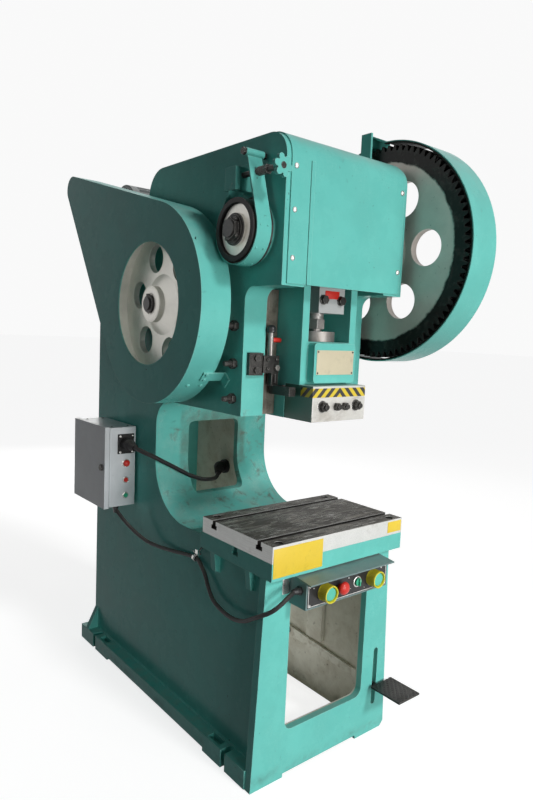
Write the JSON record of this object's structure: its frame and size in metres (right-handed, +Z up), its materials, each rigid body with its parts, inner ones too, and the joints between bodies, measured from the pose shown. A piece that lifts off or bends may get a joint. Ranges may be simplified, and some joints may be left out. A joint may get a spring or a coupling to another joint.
{
  "type": "mechanical stamping press",
  "caption": "Open-backed C-frame mechanical stamping press with a geared crankshaft, ram over a T-slotted bolster, belt-driven flywheel, band brake, two-hand controls and foot pedal.",
  "frame": {"origin": "on the floor at the centre of the four foundation slots", "axes": "+Z up; the operator stands at the front on -Y; +X is to the right of somebody who faces the front"},
  "size_m": [0.8043, 1.425, 2.043],
  "materials": {
    "enamel": "thick brushed and sprayed blue-green enamel with orange peel, chipped edges and oil",
    "grey_enamel": "grey enamel",
    "pale_paint": "smooth light grey paint",
    "greased_teeth": "black greased cast iron",
    "bare_steel": "ground bare steel under a rust-preventing film",
    "dark_steel": "black-finished steel",
    "scraped_iron": "scraped cast iron, oiled",
    "bronze": "bronze",
    "friction_lining": "woven friction lining",
    "black_rubber": "matt black rubber",
    "black_plastic": "matt black moulding",
    "yellow_plastic": "yellow moulding",
    "green_plastic": "green moulding",
    "red_plastic": "red moulding"
  },
  "bodies": {
    "frame": {"frame": "enamel", "front_cover": "enamel", "cover_screws": "bare_steel", "bolster": "bare_steel", "bolster_bolts": "dark_steel", "guide_gibs": "scraped_iron", "gib_studs": "dark_steel", "shaft_bushes": "bronze", "brake_band": "enamel", "brake_lining": "friction_lining", "brake_anchor": "enamel", "brake_rod": "dark_steel", "brake_spring": "dark_steel", "gear_guard": "enamel", "gear_guard_brackets": "enamel", "v_belts": "black_rubber", "belt_guard": "enamel", "belt_guard_bracket": "enamel", "motor": "pale_paint", "motor_bracket": "enamel", "knockout_bracket": "dark_steel", "knockout_rod": "bare_steel", "control_cabinet": "pale_paint", "starter_gear": "black_plastic", "cable_socket": "black_plastic", "cabinet_lamp": "red_plastic", "cable_gland": "black_plastic", "cable_clip": "bare_steel", "motor_cable": "black_rubber", "button_cable": "black_rubber", "button_box": "pale_paint", "palm_guards": "yellow_plastic", "pedal_pin": "bare_steel"},
    "crankshaft": {"crankshaft": "dark_steel", "brake_drum": "grey_enamel", "shaft_end_nuts": "dark_steel"},
    "main_gear": {"main_gear": "grey_enamel", "gear_bush": "bronze"},
    "rod": {"connecting_rod": "enamel", "rod_cap": "enamel", "pinch_cap": "bare_steel", "rod_bolts": "dark_steel", "adjusting_screw": "bare_steel"},
    "ram": {"ram": "enamel", "ball_ring": "bare_steel", "clamp_block": "pale_paint", "clamp_bolts": "dark_steel"},
    "drive": {"drive_shaft": "dark_steel", "pinion": "greased_teeth", "flywheel": "grey_enamel"},
    "motor_rotor": {"motor_pulley": "dark_steel"},
    "handwheel": {"brake_handwheel": "enamel"},
    "door": {"cabinet_door": "pale_paint"},
    "red_button": {"cabinet_red_button": "red_plastic"},
    "green_button": {"cabinet_green_button": "green_plastic"},
    "left_palm_button": {"palm_button_left": "green_plastic"},
    "right_palm_button": {"palm_button_right": "green_plastic"},
    "stop_button": {"stop_button": "red_plastic"},
    "selector": {"start_selector": "green_plastic"},
    "pedal": {"foot_pedal": "dark_steel"}
  },
  "joints": [
    {"name": "crank_turn", "type": "hinge", "parent": "frame", "child": "crankshaft", "pos_m": [0, -0.467, 1.635], "axis": [-1, 0, 0], "range_deg": [0, 180]},
    {"name": "rod_swing", "type": "hinge", "parent": "crankshaft", "child": "rod", "pos_m": [0, -0.467, 1.6675], "axis": [-1, 0, 0], "range_deg": [-180, 0]},
    {"name": "ram_stroke", "type": "slide", "parent": "frame", "child": "ram", "axis": [0, 0, 1], "range_m": [-0.065, 0]},
    {"name": "main_gear_spin", "type": "hinge", "parent": "frame", "child": "main_gear", "pos_m": [0, -0.467, 1.635], "axis": [-1, 0, 0], "continuous": true},
    {"name": "drive_spin", "type": "hinge", "parent": "frame", "child": "drive", "pos_m": [0, -0.09734, 1.42671], "axis": [-1, 0, 0], "continuous": true},
    {"name": "motor_spin", "type": "hinge", "parent": "frame", "child": "motor_rotor", "pos_m": [0, 0.43256, 1.81171], "axis": [-1, 0, 0], "continuous": true},
    {"name": "handwheel_turn", "type": "hinge", "parent": "frame", "child": "handwheel", "pos_m": [-0.296, -0.616, 1.789], "axis": [0, 1, 0], "continuous": true},
    {"name": "pedal_press", "type": "hinge", "parent": "frame", "child": "pedal", "pos_m": [0.235, -0.159, 0.19], "axis": [1, 0, 0], "range_deg": [0, 6], "stiffness_Nm_per_rad": 80, "springref_deg": -11.46},
    {"name": "left_palm_press", "type": "slide", "parent": "frame", "child": "left_palm_button", "axis": [0, 1, 0], "range_m": [0, 0.006], "stiffness_N_per_m": 900, "springref_m": -0.004},
    {"name": "right_palm_press", "type": "slide", "parent": "frame", "child": "right_palm_button", "axis": [0, 1, 0], "range_m": [0, 0.006], "stiffness_N_per_m": 900, "springref_m": -0.004},
    {"name": "stop_press", "type": "slide", "parent": "frame", "child": "stop_button", "axis": [0, 1, 0], "range_m": [0, 0.006], "stiffness_N_per_m": 900, "springref_m": -0.004},
    {"name": "selector_press", "type": "slide", "parent": "frame", "child": "selector", "axis": [0, 1, 0], "range_m": [0, 0.003], "stiffness_N_per_m": 900, "springref_m": -0.004},
    {"name": "red_press", "type": "slide", "parent": "frame", "child": "red_button", "axis": [0, 1, 0], "range_m": [0, 0.004], "stiffness_N_per_m": 700, "springref_m": -0.003},
    {"name": "green_press", "type": "slide", "parent": "frame", "child": "green_button", "axis": [0, 1, 0], "range_m": [0, 0.004], "stiffness_N_per_m": 700, "springref_m": -0.003},
    {"name": "door_swing", "type": "hinge", "parent": "frame", "child": "door", "pos_m": [-0.376, 0.4796, 0.828], "axis": [0, 0, -1], "range_deg": [0, 110]}
  ],
  "couplings": [
    {"joint": "rod_swing", "follows": "crank_turn", "ratio": -1},
    {"joint": "ram_stroke", "follows": "crank_turn", "m_per_rad": -0.02069},
    {"joint": "drive_spin", "follows": "main_gear_spin", "ratio": -4.3},
    {"joint": "motor_spin", "follows": "main_gear_spin", "ratio": -24.146}
  ]
}
